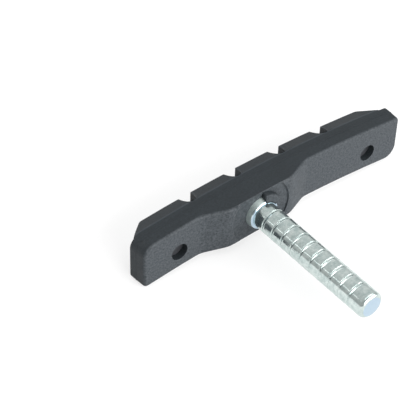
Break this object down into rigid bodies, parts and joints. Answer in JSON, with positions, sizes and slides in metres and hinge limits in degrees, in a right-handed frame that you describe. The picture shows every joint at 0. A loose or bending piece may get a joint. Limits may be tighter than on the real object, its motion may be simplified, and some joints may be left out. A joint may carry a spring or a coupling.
{
  "type": "bicycle rim brake pad",
  "caption": "Arched rubber brake pad for a bicycle rim, with slotted friction blocks and a grooved steel post that the brake arm clamps.",
  "frame": {"origin": "on the post's axis, in the plane of the collar's outer face", "axes": "+X along the pad towards its long end, +Y along the post towards the wheel rim, +Z away from the hub"},
  "size_m": [0.0704, 0.0445, 0.013],
  "materials": {
    "black_rubber": "matt, finely grained by the mould",
    "primed_steel": "flat black primer",
    "zinc_plated_steel": "bright zinc plate"
  },
  "bodies": {
    "root": {"rubber_pad": "black_rubber", "backing_plate": "primed_steel", "post": "zinc_plated_steel"}
  },
  "joints": []
}
